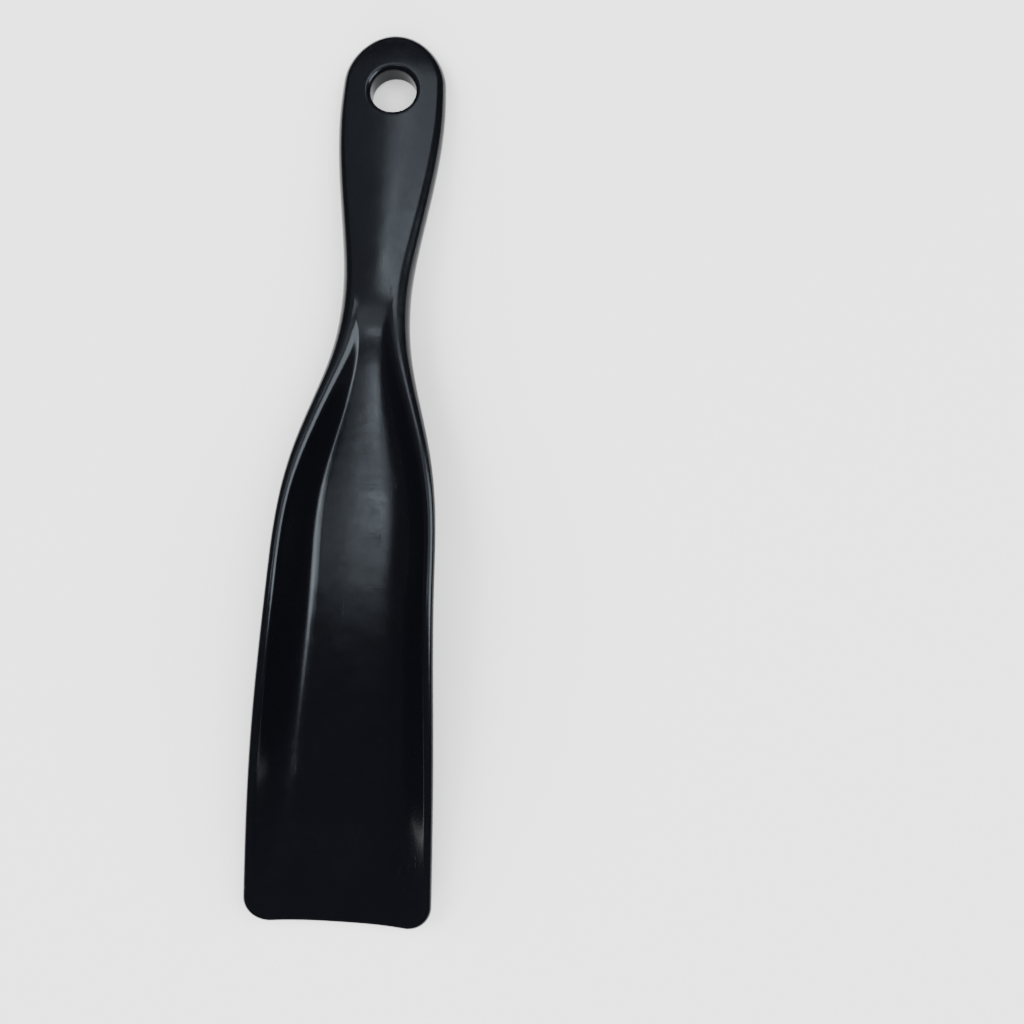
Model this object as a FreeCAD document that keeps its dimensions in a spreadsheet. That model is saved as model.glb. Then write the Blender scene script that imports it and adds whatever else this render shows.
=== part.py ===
import FreeCAD, Part

import math
import os

import Sketcher

# Shoehorn, one injection moulding: a flat paddle handle with a hanging hole, a narrow neck, and a
# wide trough-shaped blade. It lies on its back, trough up, on the plane z = 0. X runs from the
# handle's end to the blade's tip, Y across, Z up. The origin is the centre of the bounding box's
# bottom face.

# Driving dimensions in millimetres. The shape is given at named stations along the shoehorn:
# "from_end" is a station's distance along X from the handle's end, "width" is the full width of
# the plan outline there, "height" is the height of the middle of the rim above the plane that
# the shoehorn lies on, "thickness" is the handle's thickness or the blade wall's, "depth" is the
# depth of the trough below the rim, "floor" is the width of the trough's floor and "fillet" says
# how softly the floor turns up into the walls.
DIMENSIONS = [
    ("end_from_end", 0.0),
    ("grip_from_end", 18.5),
    ("taper_from_end", 44.5),
    ("neck_from_end", 59.5),
    ("lip_from_end", 65.5),
    ("throat_from_end", 71.5),
    ("mouth_from_end", 77.5),
    ("flare_from_end", 83.5),
    ("shoulder_from_end", 91.5),
    ("upper_from_end", 100.5),
    ("belly_from_end", 119.5),
    ("lower_from_end", 149.5),
    ("tip_from_end", 189.0),
    ("end_width", 20.0),
    ("grip_width", 22.8),
    ("taper_width", 17.3),
    ("neck_width", 14.4),
    ("throat_width", 16.6),
    ("flare_width", 22.9),
    ("shoulder_width", 27.4),
    ("upper_width", 30.8),
    ("belly_width", 33.2),
    ("lower_width", 36.3),
    ("tip_width", 38.6),
    ("end_height", 2.3),
    ("grip_height", 3.1),
    ("neck_height", 6.3),
    ("throat_height", 7.6),
    ("flare_height", 9.8),
    ("upper_height", 12.0),
    ("belly_height", 13.0),
    ("lower_height", 10.6),
    ("tip_height", 3.0),
    ("end_thickness", 4.8),
    ("grip_thickness", 5.4),
    ("taper_thickness", 6.2),
    ("neck_thickness", 6.4),
    ("lip_thickness", 6.0),
    ("throat_thickness", 5.1),
    ("mouth_thickness", 4.2),
    ("flare_thickness", 3.7),
    ("shoulder_thickness", 3.3),
    ("upper_thickness", 2.7),
    ("belly_thickness", 2.4),
    ("lower_thickness", 2.3),
    ("tip_thickness", 1.8),
    ("neck_depth", 0.0),
    ("lip_depth", 0.5),
    ("throat_depth", 1.95),
    ("mouth_depth", 3.55),
    ("flare_depth", 5.25),
    ("shoulder_depth", 7.2),
    ("upper_depth", 8.65),
    ("belly_depth", 10.2),
    ("lower_depth", 8.6),
    ("tip_depth", 2.1),
    ("neck_floor", 6.4),
    ("throat_floor", 7.8),
    ("flare_floor", 13.0),
    ("shoulder_floor", 18.0),
    ("upper_floor", 21.8),
    ("belly_floor", 23.6),
    ("lower_floor", 25.0),
    ("tip_floor", 20.0),
    ("neck_fillet", 0.9),
    ("throat_fillet", 1.3),
    ("shoulder_fillet", 1.9),
    ("upper_fillet", 2.1),
    ("belly_fillet", 2.5),
    ("lower_fillet", 3.0),
    ("tip_fillet", 6.0),
    ("end_reach", 10.9),
    ("tip_corner_radius", 5.6),
    ("handle_crown", 0.5),
    ("crown_fade_from_end", 46.0),
    ("crown_fade_length", 20.0),
    ("hang_hole_diameter", 9.8),
    ("hang_hole_from_end", 13.4),
    ("hang_hole_edge_radius", 1.1),
]

doc = FreeCAD.newDocument("Shoehorn")

sheet = doc.addObject("Spreadsheet::Sheet", "Dimensions")
for row, (alias, value) in enumerate(DIMENSIONS, start=1):
    sheet.set(f"A{row}", alias)
    sheet.set(f"B{row}", str(value))
    sheet.setAlias(f"B{row}", alias)
doc.recompute()


def size(alias):
    """A driving dimension, read from the sheet."""
    return float(sheet.get(alias))


def smooth_curve(keys):
    """The natural cubic spline through (position, value) keys, as a function of position."""
    xs = [float(x) for x, _ in keys]
    ys = [float(y) for _, y in keys]
    last = len(xs) - 1
    bends = [0.0] * (last + 1)
    ratio = [0.0] * (last + 1)
    for i in range(1, last):
        before, after = xs[i] - xs[i - 1], xs[i + 1] - xs[i]
        pull = 6.0 * ((ys[i + 1] - ys[i]) / after - (ys[i] - ys[i - 1]) / before)
        pivot = 2.0 * (before + after) - before * ratio[i - 1]
        ratio[i] = after / pivot
        bends[i] = (pull - before * bends[i - 1]) / pivot
    for i in range(last - 1, 0, -1):
        bends[i] -= ratio[i] * bends[i + 1]

    def value(x):
        i = 0
        while i < last - 1 and x > xs[i + 1]:
            i += 1
        step = xs[i + 1] - xs[i]
        right = (x - xs[i]) / step
        left = 1.0 - right
        curve = (left**3 - left) * bends[i] + (right**3 - right) * bends[i + 1]
        return left * ys[i] + right * ys[i + 1] + curve * step * step / 6.0

    return value


def along_shoehorn(quantity, stations):
    """A quantity that changes smoothly along the shoehorn, given at the named stations."""
    return smooth_curve([
        (size(f"{station}_from_end"), size(f"{station}_{quantity}")) for station in stations.split()
    ])


LENGTH = size("tip_from_end")
TROUGH_START = size("neck_from_end")
SMALL = 0.02

full_width = along_shoehorn(
    "width", "end grip taper neck throat flare shoulder upper belly lower tip"
)
rim_height = along_shoehorn("height", "end grip neck throat flare upper belly lower tip")
thickness = along_shoehorn(
    "thickness", "end grip taper neck lip throat mouth flare shoulder upper belly lower tip"
)
trough_depth = along_shoehorn(
    "depth", "neck lip throat mouth flare shoulder upper belly lower tip"
)
floor_width = along_shoehorn("floor", "neck throat flare shoulder upper belly lower tip")
floor_fillet = along_shoehorn("fillet", "neck throat shoulder upper belly lower tip")


def side_line(s):
    """Half-width of the plan outline at s from the handle's end, before its ends are rounded."""
    return 0.5 * full_width(s)


def crown(s):
    """How much thicker the handle is along its middle than at its rounded sides, per face."""
    fade = (s - size("crown_fade_from_end")) / size("crown_fade_length")
    fade = min(max(fade, 0.0), 1.0)
    return size("handle_crown") * (1.0 - fade * fade * (3.0 - 2.0 * fade))


def corner_inset(s):
    """How far the tip's rounded corner brings the side in, at s from the handle's end."""
    radius = size("tip_corner_radius")
    into = s - (LENGTH - radius)
    if into <= 0.0:
        return 0.0
    return radius - math.sqrt(max(radius**2 - into**2, 0.0))


def half_width(s):
    """Half-width of the plan outline at s from the handle's end."""
    reach = size("end_reach")
    if s < reach:
        return side_line(s) * math.sqrt(max(1.0 - ((reach - s) / reach) ** 2, 0.0))
    return side_line(s) - corner_inset(s)


def rounding(distance, radius):
    """Share of the full thickness that is left this near to an end with a full-round edge."""
    if distance >= radius:
        return 1.0
    return math.sqrt(max(1.0 - (1.0 - distance / radius) ** 2, 0.0))


def trough_rise(u, edge, fillet):
    """Even, smooth ramp: nearly flat inside the edge and nearly straight outside it."""
    return math.hypot(u - edge, fillet) + math.hypot(u + edge, fillet) - 2.0 * math.hypot(edge, fillet)


def trough_steepness(u, edge, fillet):
    """Slope of the ramp."""
    return (u - edge) / math.hypot(u - edge, fillet) + (u + edge) / math.hypot(u + edge, fillet)


RIM_STEPS = 8
FACE_STEPS = 14
RIM_PARAMETER = 0.35
WIDEST_RIM_SHARE = 0.45


def section(s):
    """Upper and lower halves of the cross-section at s, from its middle to the +Y side."""
    width = half_width(s)
    in_trough = max(s, TROUGH_START)
    depth = trough_depth(in_trough) if s > TROUGH_START else 0.0
    edge = 0.5 * floor_width(in_trough)
    fillet = floor_fillet(in_trough)
    full_radius = 0.5 * thickness(s) - crown(s)
    full_rise = trough_rise(side_line(s) - full_radius, edge, fillet)

    # The rim is a full round. Where it runs slantwise to the section it is cut longer, and near
    # the two ends of the shoehorn the section passes through the rim of the end itself.
    left_over = rounding(s, full_radius) * rounding(LENGTH - s, full_radius)
    radius = full_radius * left_over
    bulge = crown(s) * left_over
    slant = (half_width(s + SMALL) - half_width(s - SMALL)) / (2.0 * SMALL)
    reach = min(radius * math.hypot(1.0, slant), WIDEST_RIM_SHARE * width)
    centre = width - reach
    rim_lean = math.atan(2.0 * bulge / centre)
    inner = centre + reach * math.sin(rim_lean)

    def middle(u):
        """Height and slope of the line half way through the wall."""
        rise = depth * trough_rise(u, edge, fillet) / full_rise
        return rim_height(s) - depth + rise, depth * trough_steepness(u, edge, fillet) / full_rise

    upper, lower = [], []
    for k in range(FACE_STEPS + 1):
        u = inner * k / FACE_STEPS
        level, slope = middle(u)
        lean = math.atan(slope)
        half = radius * math.cos(rim_lean) + bulge * (1.0 - (u / inner) ** 2)
        upper.append((u - half * math.sin(lean), level + half * math.cos(lean)))
        lower.append((u + half * math.sin(lean), level - half * math.cos(lean)))
    for k in range(1, RIM_STEPS + 1):
        turn = (math.pi / 2 - rim_lean) * (1.0 - k / RIM_STEPS)
        for face, way in ((upper, 1.0), (lower, -1.0)):
            angle = lean + way * turn
            face.append((centre + reach * math.cos(angle), level + radius * math.sin(angle)))
    return upper, lower


def face_curve(half, drop):
    """Spline across one whole face of the section, from the -Y side to the +Y side."""
    points = [(-u, v) for u, v in reversed(half[1:])] + half
    steps = [RIM_PARAMETER] * RIM_STEPS + [1.0] * (2 * FACE_STEPS) + [RIM_PARAMETER] * RIM_STEPS
    parameters = [0.0]
    for step in steps:
        parameters.append(parameters[-1] + step)
    curve = Part.BSplineCurve()
    curve.interpolate(
        Points=[FreeCAD.Vector(u, v - drop, 0.0) for u, v in points],
        Parameters=parameters,
    )
    return curve


# Where the cross-sections are drawn: close together round the two ends, wider apart between.
FROM_HANDLE_END = [0.05, 0.4, 1.2, 2.5, 4.2, 6.5, 9.5, 13.5]
BETWEEN = [
    19.0, 26.0, 35.0, 45.0, 54.0, 60.0, 64.0, 68.0, 72.0, 76.0, 80.0, 85.0, 90.0, 95.0, 101.0,
    108.0, 118.0, 132.0, 150.0, 168.0, 178.0,
]
FROM_TIP = [5.2, 3.4, 2.0, 1.0, 0.5, 0.2, 0.05]
stations = FROM_HANDLE_END + BETWEEN + [LENGTH - distance for distance in FROM_TIP]
sections = [section(s) for s in stations]
lowest = min(v for _, lower in sections for _, v in lower)

body = doc.addObject("PartDesign::Body", "shoehorn")
body.Label = "shoehorn"
body.Placement = FreeCAD.Placement(FreeCAD.Vector(0, 0, 0), FreeCAD.Rotation())
planes = {feature.Role: feature for feature in body.Origin.OriginFeatures}


def new_sketch(name, plane, offset):
    """A sketch on one of the body's own origin planes, moved along the plane's normal."""
    sketch = body.newObject("Sketcher::SketchObject", name)
    sketch.AttachmentSupport = [(planes[plane], "")]
    sketch.MapMode = "FlatFace"
    sketch.AttachmentOffset = FreeCAD.Placement(FreeCAD.Vector(0, 0, offset), FreeCAD.Rotation())
    return sketch


sketches = []
for number, (s, (upper, lower)) in enumerate(zip(stations, sections)):
    sketch = new_sketch(f"section_{number:02d}", "YZ_Plane", s - LENGTH / 2)
    for half in (upper, lower):
        line = sketch.addGeometry(face_curve(half, lowest), False)
        sketch.addConstraint(Sketcher.Constraint("Block", line))
    sketches.append(sketch)
doc.recompute()

blank = body.newObject("PartDesign::AdditiveLoft", "moulding")
blank.Profile = sketches[0]
blank.Sections = sketches[1:]
blank.Ruled = False
doc.recompute()
blank_volume = blank.Shape.Volume

# The hanging hole goes straight through the handle, along Z.
hole_sketch = new_sketch("hang_hole_outline", "XY_Plane", 0.0)
hole_radius = size("hang_hole_diameter") / 2
hole_from_middle = LENGTH / 2 - size("hang_hole_from_end")
middle_of_hole = FreeCAD.Vector(-hole_from_middle, 0, 0)
hole_sketch.addGeometry(Part.Circle(middle_of_hole, FreeCAD.Vector(0, 0, 1), hole_radius), False)
across = hole_sketch.addConstraint(Sketcher.Constraint("Diameter", 0, 2 * hole_radius))
on_middle = hole_sketch.addConstraint(Sketcher.Constraint("PointOnObject", 0, 3, -1))
along = hole_sketch.addConstraint(Sketcher.Constraint("DistanceX", 0, 3, -1, 1, hole_from_middle))
hole_sketch.setExpression(f"Constraints[{across}]", "Dimensions.hang_hole_diameter")
hole_sketch.setExpression(
    f"Constraints[{along}]", "Dimensions.tip_from_end / 2 - Dimensions.hang_hole_from_end"
)
hole = body.newObject("PartDesign::Pocket", "hang_hole")
hole.Profile = hole_sketch
hole.Midplane = True
hole.Length = 4.0 * size("neck_thickness")
hole.setExpression("Length", "4 * Dimensions.neck_thickness")
doc.recompute()


def is_hole_edge(edge):
    """Whether an edge lies on the wall of the hanging hole, and runs round it."""
    centre_x = size("hang_hole_from_end") - LENGTH / 2
    radius = size("hang_hole_diameter") / 2
    return all(
        abs(math.hypot(point.x - centre_x, point.y) - radius) < 0.01
        for point in edge.discretize(9)
    ) and edge.BoundBox.YLength > radius


hole_edges = [
    f"Edge{number}" for number, edge in enumerate(hole.Shape.Edges, start=1) if is_hole_edge(edge)
]
softened = body.newObject("PartDesign::Fillet", "hang_hole_edges")
softened.Base = (hole, hole_edges)
softened.Radius = size("hang_hole_edge_radius")
softened.setExpression("Radius", "Dimensions.hang_hole_edge_radius")
body.Tip = softened
doc.recompute()

for item in doc.Objects:
    if {"Invalid", "Error"} & set(item.State):
        raise RuntimeError(f"{item.Name} did not build: {item.State}")
if body.Shape.isNull() or not body.Shape.isValid() or len(body.Shape.Solids) != 1:
    raise RuntimeError("the shoehorn is not one valid solid")
if not 100.0 < blank_volume - hole.Shape.Volume < 600.0:
    raise RuntimeError("the hanging hole did not cut the handle")

os.makedirs("parts", exist_ok=True)
body.Shape.exportStep("parts/shoehorn.step")

bore_walls = [
    face for face in body.Shape.Faces
    if isinstance(face.Surface, Part.Cylinder) and abs(face.Surface.Axis.z) > 0.99
]
box = body.Shape.BoundBox
print(f"box {box.XLength:.2f} x {box.YLength:.2f} x {box.ZLength:.2f} mm, bottom at {box.ZMin:.3f}")
print(f"volume {body.Shape.Volume / 1000:.2f} cm3, hole edges rounded: {len(hole_edges)}")
for face in bore_walls:
    low, high = face.BoundBox.ZMin, face.BoundBox.ZMax
    print(f"bore wall radius {face.Surface.Radius:.2f}, z {low:.2f} to {high:.2f}")
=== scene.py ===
"""A black moulded shoehorn, lying trough up on a pale table, seen from above."""
import math

import bmesh
import bpy
import numpy as np
from mathutils import Euler, Matrix, Vector


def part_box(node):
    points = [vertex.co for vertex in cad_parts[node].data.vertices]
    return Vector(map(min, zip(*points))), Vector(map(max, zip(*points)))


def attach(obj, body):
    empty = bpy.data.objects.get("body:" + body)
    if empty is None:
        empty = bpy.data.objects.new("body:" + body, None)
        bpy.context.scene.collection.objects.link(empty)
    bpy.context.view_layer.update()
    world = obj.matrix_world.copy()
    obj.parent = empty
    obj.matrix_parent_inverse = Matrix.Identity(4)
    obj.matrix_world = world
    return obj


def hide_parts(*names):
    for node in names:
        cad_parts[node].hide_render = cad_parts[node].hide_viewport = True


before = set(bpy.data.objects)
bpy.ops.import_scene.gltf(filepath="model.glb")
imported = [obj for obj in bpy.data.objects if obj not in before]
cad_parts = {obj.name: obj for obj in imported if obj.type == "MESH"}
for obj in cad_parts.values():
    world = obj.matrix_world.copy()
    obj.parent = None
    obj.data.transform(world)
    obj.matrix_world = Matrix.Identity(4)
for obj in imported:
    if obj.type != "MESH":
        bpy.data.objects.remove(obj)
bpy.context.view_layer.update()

# ------------------------------------------------------------------ driving sizes, millimetres
# The same named stations and sizes as the CAD model, as distances from the handle's end.
STATIONS = {
    "end": 0.0, "grip": 18.5, "taper": 44.5, "neck": 59.5, "lip": 65.5, "throat": 71.5,
    "mouth": 77.5, "flare": 83.5, "shoulder": 91.5, "upper": 100.5, "belly": 119.5,
    "lower": 149.5, "tip": 189.0,
}
LENGTH = STATIONS["tip"]
TROUGH_START = STATIONS["neck"]
HANDLE_REACH = 10.9
TIP_CORNER = 5.6
CROWN = 0.5
CROWN_FADE_START = 46.0
CROWN_FADE = 20.0
HOLE_RADIUS = 4.9
HOLE_FROM_END = 13.4
HOLE_EDGE = 1.1

MM = 0.001


def smooth_curve(keys):
    """The natural cubic spline through (position, value) keys, for numbers or arrays."""
    xs, ys = (np.array(column, dtype=float) for column in zip(*keys))
    gap = np.diff(xs)
    size = len(xs)
    matrix = np.eye(size)
    pull = np.zeros(size)
    for i in range(1, size - 1):
        matrix[i, i - 1:i + 2] = gap[i - 1], 2.0 * (gap[i - 1] + gap[i]), gap[i]
        pull[i] = 6.0 * ((ys[i + 1] - ys[i]) / gap[i] - (ys[i] - ys[i - 1]) / gap[i - 1])
    bend = np.linalg.solve(matrix, pull)

    def value(x):
        x = np.asarray(x, dtype=float)
        i = np.clip(np.searchsorted(xs, x) - 1, 0, size - 2)
        right = (x - xs[i]) / gap[i]
        left = 1.0 - right
        curve = (left**3 - left) * bend[i] + (right**3 - right) * bend[i + 1]
        return left * ys[i] + right * ys[i + 1] + curve * gap[i] ** 2 / 6.0

    return value


def along_shoehorn(sizes):
    """A size that changes smoothly along the shoehorn, given at named stations."""
    return smooth_curve([(STATIONS[station], value) for station, value in sizes.items()])


full_width = along_shoehorn({
    "end": 20.0, "grip": 22.8, "taper": 17.3, "neck": 14.4, "throat": 16.6, "flare": 22.9,
    "shoulder": 27.4, "upper": 30.8, "belly": 33.2, "lower": 36.3, "tip": 38.6,
})
rim_height = along_shoehorn({
    "end": 2.3, "grip": 3.1, "neck": 6.3, "throat": 7.6, "flare": 9.8, "upper": 12.0,
    "belly": 13.0, "lower": 10.6, "tip": 3.0,
})
thickness = along_shoehorn({
    "end": 4.8, "grip": 5.4, "taper": 6.2, "neck": 6.4, "lip": 6.0, "throat": 5.1, "mouth": 4.2,
    "flare": 3.7, "shoulder": 3.3, "upper": 2.7, "belly": 2.4, "lower": 2.3, "tip": 1.8,
})
trough_depth = along_shoehorn({
    "neck": 0.0, "lip": 0.5, "throat": 1.95, "mouth": 3.55, "flare": 5.25, "shoulder": 7.2,
    "upper": 8.65, "belly": 10.2, "lower": 8.6, "tip": 2.1,
})
floor_width = along_shoehorn({
    "neck": 6.4, "throat": 7.8, "flare": 13.0, "shoulder": 18.0, "upper": 21.8, "belly": 23.6,
    "lower": 25.0, "tip": 20.0,
})
floor_fillet = along_shoehorn({
    "neck": 0.9, "throat": 1.3, "shoulder": 1.9, "upper": 2.1, "belly": 2.5, "lower": 3.0,
    "tip": 6.0,
})


def side_line(s):
    """Half-width of the plan outline before its two ends are rounded."""
    return 0.5 * full_width(s)


def smoothstep(value):
    """Ease from 0 to 1 as the value goes from 0 to 1, and hold still outside that."""
    value = np.clip(value, 0.0, 1.0)
    return value * value * (3.0 - 2.0 * value)


def rim_radius(s):
    """Radius of the full-round rim."""
    return 0.5 * thickness(s) - crown(s)


def crown(s):
    """How much thicker the handle is along its middle than at its rounded sides."""
    return CROWN * (1.0 - smoothstep((s - CROWN_FADE_START) / CROWN_FADE))


def upper_face(s):
    """Half-width of the upper face between its rims, and its slope where it meets them."""
    radius = rim_radius(s)
    inner = side_line(s) - radius
    for _ in range(4):
        lean = np.arctan(2.0 * crown(s) / inner)
        inner = side_line(s) - radius * (1.0 - np.sin(lean))
    return inner, lean


def crown_lean(s):
    """Slope of the upper face where it meets the rim, as an angle."""
    return upper_face(s)[1]


# ------------------------------------------------------------------ plan outline
END_POINTS = 160
SIDE_POINTS = 900
TIP_POINTS = 120


def plan_outline():
    """Half of the plan outline, from the middle of the handle's end to the middle of the tip."""
    turn = np.linspace(0.0, math.pi / 2, END_POINTS)
    s_end = HANDLE_REACH * (1.0 - np.cos(turn))
    end = np.column_stack([s_end, side_line(s_end) * np.sin(turn)])
    s_side = np.linspace(HANDLE_REACH, LENGTH - TIP_CORNER, SIDE_POINTS)[1:]
    side = np.column_stack([s_side, side_line(s_side)])
    turn = turn[1:]
    s_corner = LENGTH - TIP_CORNER + TIP_CORNER * np.sin(turn)
    corner = np.column_stack([s_corner, side_line(s_corner) - TIP_CORNER * (1.0 - np.cos(turn))])
    u_tip = np.linspace(corner[-1, 1], 0.0, TIP_POINTS)[1:]
    tip = np.column_stack([np.full_like(u_tip, LENGTH), u_tip])
    return np.vstack([end, side, corner, tip])


def along(points):
    """Distance travelled along a polyline at each of its points."""
    steps = np.hypot(*np.diff(points, axis=0).T)
    return np.concatenate([[0.0], np.cumsum(steps)])


def resample(points, travelled):
    """Points of a polyline at the given distances along it."""
    at = along(points)
    return np.column_stack([np.interp(travelled, at, points[:, k]) for k in (0, 1)])


def sheet_outline():
    """The plan outline brought in by the rim's radius: the edge of the wall's middle sheet."""
    outer = plan_outline()
    ahead = np.gradient(outer, axis=0)
    ahead[0] = (0.0, 1.0)
    ahead[-1] = (0.0, -1.0)
    ahead /= np.hypot(*ahead.T)[:, None]
    inward = np.column_stack([ahead[:, 1], -ahead[:, 0]])
    s = outer[:, 0]
    inset = rim_radius(s) * (1.0 - np.sin(crown_lean(s)))
    return outer + inward * inset[:, None]


# ------------------------------------------------------------------ the wall's middle sheet
def trough_rise(u, edge, fillet):
    """Even, smooth ramp: nearly flat inside the edge and nearly straight outside it."""
    return np.hypot(u - edge, fillet) + np.hypot(u + edge, fillet) - 2.0 * np.hypot(edge, fillet)


def middle_height(s, u):
    """Height of the middle of the wall above the table, before the whole is set down."""
    s = np.asarray(s, dtype=float)
    inside = np.maximum(s, TROUGH_START)
    depth = np.where(s > TROUGH_START, trough_depth(inside), 0.0)
    edge, fillet = 0.5 * floor_width(inside), floor_fillet(inside)
    full = trough_rise(side_line(s) - rim_radius(s), edge, fillet)
    return rim_height(s) - depth + depth * trough_rise(u, edge, fillet) / full


SLOPE_STEP = 0.02


def sheet_normal(s, u):
    """Unit normal of the middle sheet, pointing up, as (s, u, height) parts."""
    step = SLOPE_STEP
    slope_s = (middle_height(s + step, u) - middle_height(s - step, u)) / (2.0 * step)
    slope_u = (middle_height(s, u + step) - middle_height(s, u - step)) / (2.0 * step)
    normal = np.stack([-slope_s, -slope_u, np.ones_like(slope_s)], axis=-1)
    return normal / np.linalg.norm(normal, axis=-1, keepdims=True)


def half_wall(s, u):
    """Half of the wall's thickness, measured along the sheet's normal."""
    inner, lean = upper_face(s)
    before = np.maximum(HANDLE_REACH - s, 0.0) / (HANDLE_REACH - rim_radius(s))
    share = np.minimum((u / inner) ** 2 + before**2, 1.0)
    return rim_radius(s) * np.cos(lean) + crown(s) * (1.0 - share)


# ------------------------------------------------------------------ mesh of the whole moulding
# The upper and lower faces are a round patch about the hole, out to PATCH_END, and then a grid.
PATCH_END = 27.0
ACROSS = 96
ROW_STEP = 0.5
EDGE_STEP = 0.7
PATCH_ROWS = 22
RIM_STEPS = 14
BORE_STEPS = 8
HOLE_TURN_STEPS = 9
# Over this length before the tip, the rows bend from straight to the tip's own line.
TIP_BLEND = 22.0


class Mesh:
    """Vertices in (s, u, height) millimetres, and faces."""

    def __init__(self):
        self.points = []
        self.faces = []

    def add(self, points):
        first = len(self.points)
        self.points.extend(np.reshape(points, (-1, 3)))
        return np.arange(first, len(self.points)).reshape(np.shape(points)[:-1])

    def grid(self, index, flip=False, closed=False):
        rows, columns = index.shape
        for i in range(rows - 1):
            for j in range(columns if closed else columns - 1):
                k = (j + 1) % columns
                face = [index[i, j], index[i + 1, j], index[i + 1, k], index[i, k]]
                self.faces.append(face[::-1] if flip else face)


def blade_plan(edge_points):
    """Plan grid from the patch round the hole to the tip, as arrays of s and of u."""
    s_edge = edge_points[:, 0]
    corner = int(np.argmax(edge_points[:, 0] + edge_points[:, 1]))
    tip_s, tip_u = edge_points[corner]
    rows = int(round((tip_s - PATCH_END) / ROW_STEP))
    row_s = np.linspace(PATCH_END, tip_s, rows + 1)
    row_u = np.interp(row_s, s_edge[:corner + 1], edge_points[:corner + 1, 1])
    share = np.linspace(-1.0, 1.0, ACROSS + 1)
    s = np.repeat(row_s[:, None], ACROSS + 1, axis=1)
    u = row_u[:, None] * share[None, :]
    tip_half = edge_points[corner:]
    tip_line = np.vstack([tip_half * (1.0, -1.0), tip_half[-2::-1]])
    total = along(tip_line)[-1]
    tip_row = resample(tip_line, total * (share + 1.0) / 2.0)
    blend = smoothstep((row_s - (tip_s - TIP_BLEND)) / TIP_BLEND)[:, None]
    s = s + blend * (tip_row[None, :, 0] - tip_s)
    u = u + blend * (tip_row[None, :, 1] - tip_u * share[None, :])
    return s, u


def patch_plan(edge_points):
    """Plan loops from the hole's rounded edge out to the patch's border, border last."""
    before = edge_points[edge_points[:, 0] < PATCH_END]
    half_line = np.interp(PATCH_END, *edge_points[:SIDE_POINTS].T)
    side = np.vstack([before, [PATCH_END, half_line]])
    whole = np.vstack([side[::-1], (side * (1.0, -1.0))[1:]])
    total = along(whole)[-1]
    steps = 2 * int(round(total / EDGE_STEP / 2.0))
    outer = resample(whole, np.linspace(0.0, total, steps + 1))
    across = np.linspace(-1.0, 1.0, ACROSS + 1)[1:-1]
    line = np.column_stack([np.full(ACROSS - 1, PATCH_END), across * half_line])
    border = np.vstack([outer, line])
    centre = np.array([HOLE_FROM_END, 0.0])
    away = border - centre
    ring = centre + (HOLE_RADIUS + HOLE_EDGE) * away / np.hypot(*away.T)[:, None]
    share = np.linspace(0.0, 1.0, PATCH_ROWS + 1)[:, None, None]
    return ring[None] * (1.0 - share) + border[None] * share, steps + 1


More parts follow.
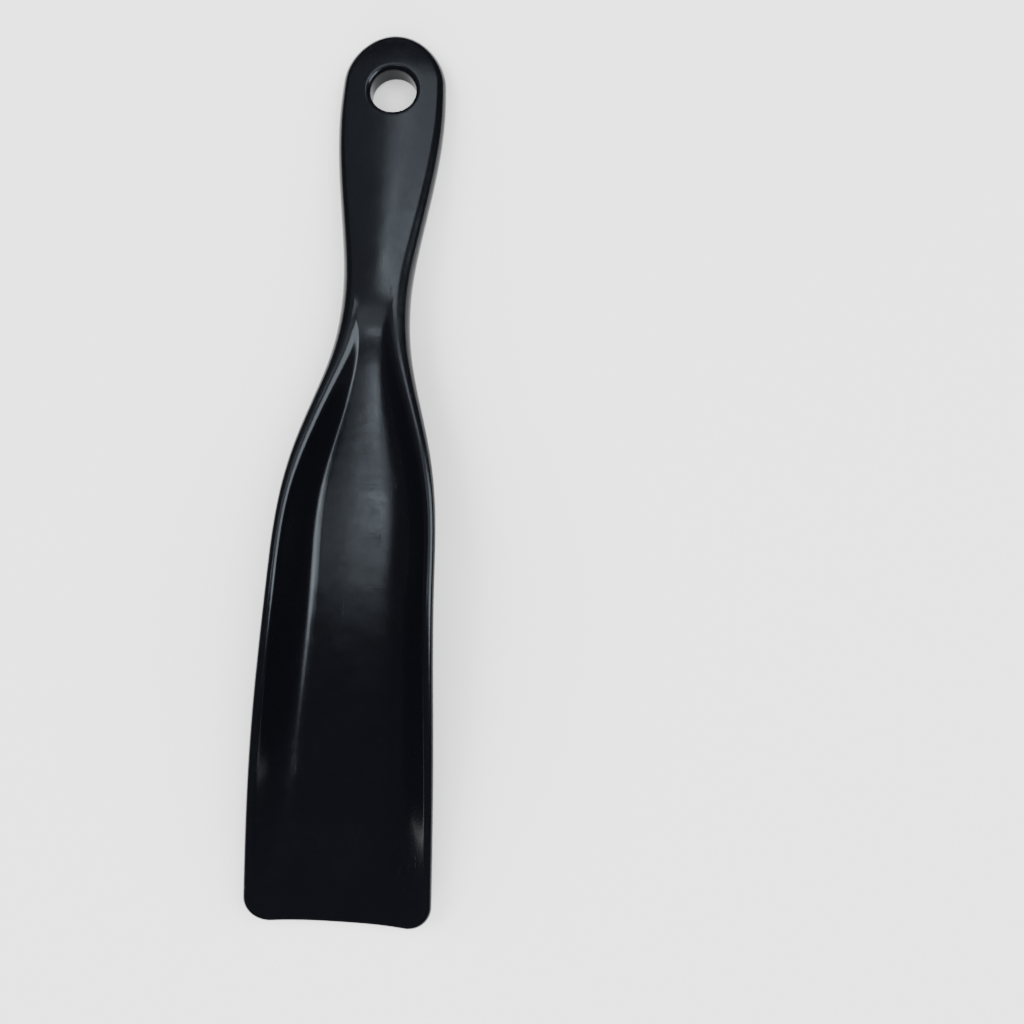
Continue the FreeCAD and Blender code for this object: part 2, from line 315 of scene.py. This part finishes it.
def build_moulding():
    """The whole closed surface: two faces, the hole's rounded edges and bore, and the rim."""
    edge_points = sheet_outline()
    mesh = Mesh()
    blade_s, blade_u = blade_plan(edge_points)
    loops, outer_count = patch_plan(edge_points)

    def surface(s, u, side):
        normal = sheet_normal(s, u)
        sheet = np.stack([s, u, middle_height(s, u)], axis=-1)
        return sheet + side * half_wall(s, u)[..., None] * normal

    faces_of = {}
    for side in (1.0, -1.0):
        blade = mesh.add(surface(blade_s, blade_u, side))
        mesh.grid(blade, flip=side > 0)

        # Near the hole the sheet is shifted so that the surface, not the sheet, is on the bore.
        s, u = loops[..., 0], loops[..., 1]
        share = np.linspace(0.0, 1.0, PATCH_ROWS + 1)[:, None]
        lift = surface(s, u, side) - np.stack([s, u, middle_height(s, u)], axis=-1)
        s, u = s - (1.0 - share) * lift[..., 0], u - (1.0 - share) * lift[..., 1]
        patch_points = surface(s, u, side)
        patch = np.empty(patch_points.shape[:2], dtype=int)
        patch[:-1] = mesh.add(patch_points[:-1])
        patch[-1, :outer_count] = mesh.add(patch_points[-1, :outer_count])
        patch[-1, outer_count:] = blade[0, 1:-1]
        # The two corners of the border are the blade grid's own.
        patch[-1, 0] = blade[0, -1]
        patch[-1, outer_count - 1] = blade[0, 0]
        mesh.grid(patch, flip=side > 0, closed=True)

        # Rounded edge of the hole.
        ring = patch_points[0]
        centre = np.array([HOLE_FROM_END, 0.0])
        away = ring[:, :2] - centre
        away /= np.hypot(*away.T)[:, None]
        slope = (patch_points[1, :, 2] - ring[:, 2]) / np.hypot(
            *(patch_points[1, :, :2] - ring[:, :2]).T)
        turns = []
        for k in range(1, HOLE_TURN_STEPS + 1):
            turn = math.pi / 2 * k / HOLE_TURN_STEPS
            radial = HOLE_RADIUS + HOLE_EDGE * (1.0 - math.sin(turn))
            height = ring[:, 2] + slope * (radial - HOLE_RADIUS - HOLE_EDGE)
            height = height - side * HOLE_EDGE * (1.0 - math.cos(turn))
            turns.append(np.column_stack([centre + away * radial, height]))
        turned = mesh.add(np.array(turns))
        mesh.grid(np.vstack([patch[:1], turned])[::-1], flip=side > 0, closed=True)
        faces_of[side] = (blade, patch, turned[-1], turns[-1])

    # Bore wall, from the upper rounded edge to the lower one.
    top, bottom = faces_of[1.0][3], faces_of[-1.0][3]
    rows = [faces_of[1.0][2]]
    for k in range(1, BORE_STEPS):
        share = k / BORE_STEPS
        rows.append(mesh.add(top * (1.0 - share) + bottom * share))
    rows.append(faces_of[-1.0][2])
    mesh.grid(np.array(rows), closed=True)

    # Rim: a full round from the upper face's border to the lower face's.
    rows = blade_s.shape[0]
    border = [("patch", k) for k in range(outer_count - 1, -1, -1)]
    border += [("blade", (i, ACROSS)) for i in range(1, rows)]
    border += [("blade", (rows - 1, j)) for j in range(ACROSS - 1, -1, -1)]
    border += [("blade", (i, 0)) for i in range(rows - 2, 0, -1)]
    plan = np.array([
        loops[-1, where] if kind == "patch" else (blade_s[where], blade_u[where])
        for kind, where in border
    ])
    upper, lower = (
        np.array([(patch[-1, w] if kind == "patch" else blade[w]) for kind, w in border])
        for blade, patch, _, _ in (faces_of[1.0], faces_of[-1.0])
    )
    ahead = np.roll(plan, -1, axis=0) - np.roll(plan, 1, axis=0)
    ahead /= np.hypot(*ahead.T)[:, None]
    outward = np.column_stack([-ahead[:, 1], ahead[:, 0], np.zeros(len(plan))])
    if np.sum(outward[:, 0] * (plan[:, 0] - LENGTH / 2)) < 0.0:
        outward = -outward
    s, u = plan.T
    normal = sheet_normal(s, u)
    outward -= np.sum(outward * normal, axis=1)[:, None] * normal
    outward /= np.linalg.norm(outward, axis=1)[:, None]
    radius, lean = rim_radius(s)[:, None], crown_lean(s)[:, None]
    sheet = np.column_stack([s, u, middle_height(s, u)])
    centre = sheet - radius * np.sin(lean) * outward
    bands = [upper]
    for k in range(1, RIM_STEPS):
        turn = lean + (math.pi - 2.0 * lean) * k / RIM_STEPS
        points = centre + radius * (np.cos(turn) * normal + np.sin(turn) * outward)
        bands.append(mesh.add(points))
    bands.append(lower)
    mesh.grid(np.array(bands), flip=False, closed=True)
    return mesh


def make_shoehorn():
    shape = build_moulding()
    points = np.array(shape.points)
    low, high = (Vector(corner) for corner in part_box("shoehorn"))
    scale = (high.x - low.x) / LENGTH
    placed = np.column_stack([
        low.x + points[:, 0] * scale,
        points[:, 1] * MM,
        low.z + (points[:, 2] - points[:, 2].min()) * MM,
    ])
    data = bpy.data.meshes.new("shoehorn_moulding")
    data.from_pydata([tuple(p) for p in placed], [], [[int(v) for v in f] for f in shape.faces])
    data.update()
    work = bmesh.new()
    work.from_mesh(data)
    bmesh.ops.delete(work, geom=[v for v in work.verts if not v.link_faces], context="VERTS")
    bmesh.ops.recalc_face_normals(work, faces=work.faces)
    work.to_mesh(data)
    work.free()
    for polygon in data.polygons:
        polygon.use_smooth = True
    piece = bpy.data.objects.new("shoehorn_moulding", data)
    bpy.context.scene.collection.objects.link(piece)
    return piece


# ------------------------------------------------------------------ material
# Sizes of the plastic's surface detail, in metres.
GRAIN = 0.00045
RIPPLE = 0.004
BLOTCH = 0.009
SCUFF = 0.0005


def black_plastic():
    """Near-black satin moulded plastic: fine grain, faint ripples, uneven gloss and light scuffs."""
    material = bpy.data.materials.new("black_plastic")
    material.use_nodes = True
    nodes, links = material.node_tree.nodes, material.node_tree.links
    shader = nodes["Principled BSDF"]
    place = nodes.new("ShaderNodeTexCoord").outputs["Object"]

    def noise(feature, detail, roughness=0.5, stretch=None):
        texture = nodes.new("ShaderNodeTexNoise")
        texture.inputs["Scale"].default_value = 1.0 / feature
        texture.inputs["Detail"].default_value = detail
        texture.inputs["Roughness"].default_value = roughness
        source = place
        if stretch:
            mapping = nodes.new("ShaderNodeMapping")
            mapping.inputs["Rotation"].default_value = (0.0, 0.0, math.radians(4.0))
            mapping.inputs["Scale"].default_value = stretch
            links.new(source, mapping.inputs["Vector"])
            source = mapping.outputs["Vector"]
        links.new(source, texture.inputs["Vector"])
        return texture.outputs["Fac"]

    def remap(value, low, high, to_low, to_high):
        node = nodes.new("ShaderNodeMapRange")
        for name, number in zip(("From Min", "From Max", "To Min", "To Max"),
                                (low, high, to_low, to_high)):
            node.inputs[name].default_value = number
        links.new(value, node.inputs["Value"])
        return node.outputs["Result"]

    def combine(operation, first, second):
        node = nodes.new("ShaderNodeMath")
        node.operation = operation
        for socket, value in zip(node.inputs, (first, second)):
            if isinstance(value, float):
                socket.default_value = value
            else:
                links.new(value, socket)
        return node.outputs["Value"]

    def bump(height, distance, before=None):
        node = nodes.new("ShaderNodeBump")
        node.inputs["Strength"].default_value = 1.0
        node.inputs["Distance"].default_value = distance
        links.new(height, node.inputs["Height"])
        if before:
            links.new(before, node.inputs["Normal"])
        return node.outputs["Normal"]

    grain = noise(GRAIN, 2.0, 0.6)
    ripple = noise(RIPPLE, 1.0)
    blotch = noise(BLOTCH, 3.0, 0.6)
    scuff = remap(noise(SCUFF, 3.0, 0.6, stretch=(0.05, 1.0, 1.0)), 0.60, 0.72, 0.0, 1.0)
    worn = combine("MULTIPLY", scuff, remap(blotch, 0.45, 0.65, 0.0, 1.0))

    normal = bump(ripple, 0.00003)
    normal = bump(grain, 0.000008, normal)
    links.new(normal, shader.inputs["Normal"])

    gloss = remap(blotch, 0.3, 0.7, 0.15, 0.22)
    gloss = combine("ADD", gloss, remap(grain, 0.3, 0.7, -0.02, 0.02))
    links.new(combine("ADD", gloss, combine("MULTIPLY", worn, 0.10)), shader.inputs["Roughness"])

    colour = nodes.new("ShaderNodeMix")
    colour.data_type = "RGBA"
    colour.inputs["A"].default_value = (0.0020, 0.0021, 0.0030, 1.0)
    colour.inputs["B"].default_value = (0.0050, 0.0050, 0.0062, 1.0)
    links.new(combine("MULTIPLY", worn, 0.3), colour.inputs["Factor"])
    links.new(colour.outputs["Result"], shader.inputs["Base Color"])
    shader.inputs["Specular IOR Level"].default_value = 0.22
    return material


piece = make_shoehorn()
piece.data.materials.append(black_plastic())
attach(piece, "root")
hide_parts("shoehorn")


# ------------------------------------------------------------------ floor, light, camera
FLOOR_HALF = 1.5


def make_floor():
    data = bpy.data.meshes.new("floor")
    half = FLOOR_HALF
    data.from_pydata([(-half, -half, 0), (half, -half, 0), (half, half, 0), (-half, half, 0)],
                     [], [(0, 1, 2, 3)])
    floor = bpy.data.objects.new("floor", data)
    bpy.context.scene.collection.objects.link(floor)
    floor.location.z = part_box("shoehorn")[0][2]
    material = bpy.data.materials.new("pale_floor")
    material.use_nodes = True
    shader = material.node_tree.nodes["Principled BSDF"]
    shader.inputs["Base Color"].default_value = (0.86, 0.86, 0.86, 1.0)
    shader.inputs["Roughness"].default_value = 0.8
    data.materials.append(material)


LIGHT_DISTANCE = 1.6
DAYLIGHT = (0.78, 0.90, 1.0)
WHITE = (1.0, 1.0, 1.0)


def area_light(name, right, up, spread, radiance, colour=DAYLIGHT, fill=False):
    """A soft light, aimed at the shoehorn from a direction given by two tilts from overhead.

    right tilts it towards +Y and up towards -X, in degrees, and spread is its angular size. A fill
    light lights the floor. The others are the pale shapes that the plastic mirrors.
    """
    away = Vector((-math.tan(math.radians(up)), math.tan(math.radians(right)), 1.0)).normalized()
    size = [2.0 * LIGHT_DISTANCE * math.tan(math.radians(angle / 2.0)) for angle in spread]
    data = bpy.data.lights.new(name, "AREA")
    data.shape = "RECTANGLE"
    data.size, data.size_y = size
    data.energy = radiance * math.pi * size[0] * size[1]
    data.color = colour
    light = bpy.data.objects.new(name, data)
    bpy.context.scene.collection.objects.link(light)
    side = Vector((0.0, 1.0, 0.0))
    side = (side - side.dot(away) * away).normalized()
    turn = Matrix((side, away.cross(side), away)).transposed()
    light.matrix_world = Matrix.Translation(away * LIGHT_DISTANCE) @ turn.to_4x4()
    light.visible_glossy = not fill
    light.visible_diffuse = fill


def make_backdrop():
    """A pale plain backdrop to look at, which lights the shoehorn no more than a dim room does."""
    world = bpy.data.worlds.new("studio")
    world.use_nodes = True
    nodes, links = world.node_tree.nodes, world.node_tree.links
    room = nodes["Background"]
    room.inputs["Color"].default_value = (0.75, 0.80, 1.0, 1.0)
    room.inputs["Strength"].default_value = 0.05
    backdrop = nodes.new("ShaderNodeBackground")
    backdrop.inputs["Color"].default_value = (0.82, 0.82, 0.82, 1.0)
    backdrop.inputs["Strength"].default_value = 2.0
    seen = nodes.new("ShaderNodeLightPath")
    mix = nodes.new("ShaderNodeMixShader")
    links.new(seen.outputs["Is Camera Ray"], mix.inputs["Fac"])
    links.new(room.outputs["Background"], mix.inputs[1])
    links.new(backdrop.outputs["Background"], mix.inputs[2])
    links.new(mix.outputs["Shader"], nodes["World Output"].inputs["Surface"])
    bpy.context.scene.world = world


def make_light():
    area_light("ceiling", -2, 6, (34, 25), 2.5)
    area_light("ceiling_lamp", -14, -2.6, (5, 2.6), 22.0)
    area_light("far_wall", 0, 38, (20, 16), 3.0)
    area_light("far_window", 4, 29, (25, 11), 5.0)
    area_light("far_edge", -7, 33, (3, 24), 3.0)
    area_light("far_corner", -27, 34, (28, 32), 0.5)
    area_light("window", 41, 9, (38, 32), 10.0)
    area_light("window_low", 43, -13, (14, 12), 9.0)
    area_light("fill_left", -50, 20, (50, 50), 8.8, WHITE, fill=True)
    area_light("fill_right", 45, 25, (50, 50), 8.8, WHITE, fill=True)
    area_light("fill_front", 0, -50, (50, 50), 8.8, WHITE, fill=True)


CAMERA_AT = (16.5, 32.62, 160.18)
CAMERA_TURN = (3.197, 0.495, 93.351)
LENS = 26.37


def make_camera():
    data = bpy.data.cameras.new("camera")
    data.sensor_width = 36.0
    data.lens = LENS
    data.clip_start = 0.01
    camera = bpy.data.objects.new("camera", data)
    bpy.context.scene.collection.objects.link(camera)
    camera.location = [value * MM for value in CAMERA_AT]
    camera.rotation_euler = Euler([math.radians(angle) for angle in CAMERA_TURN], "XYZ")
    bpy.context.scene.camera = camera


make_floor()
make_backdrop()
make_light()
make_camera()
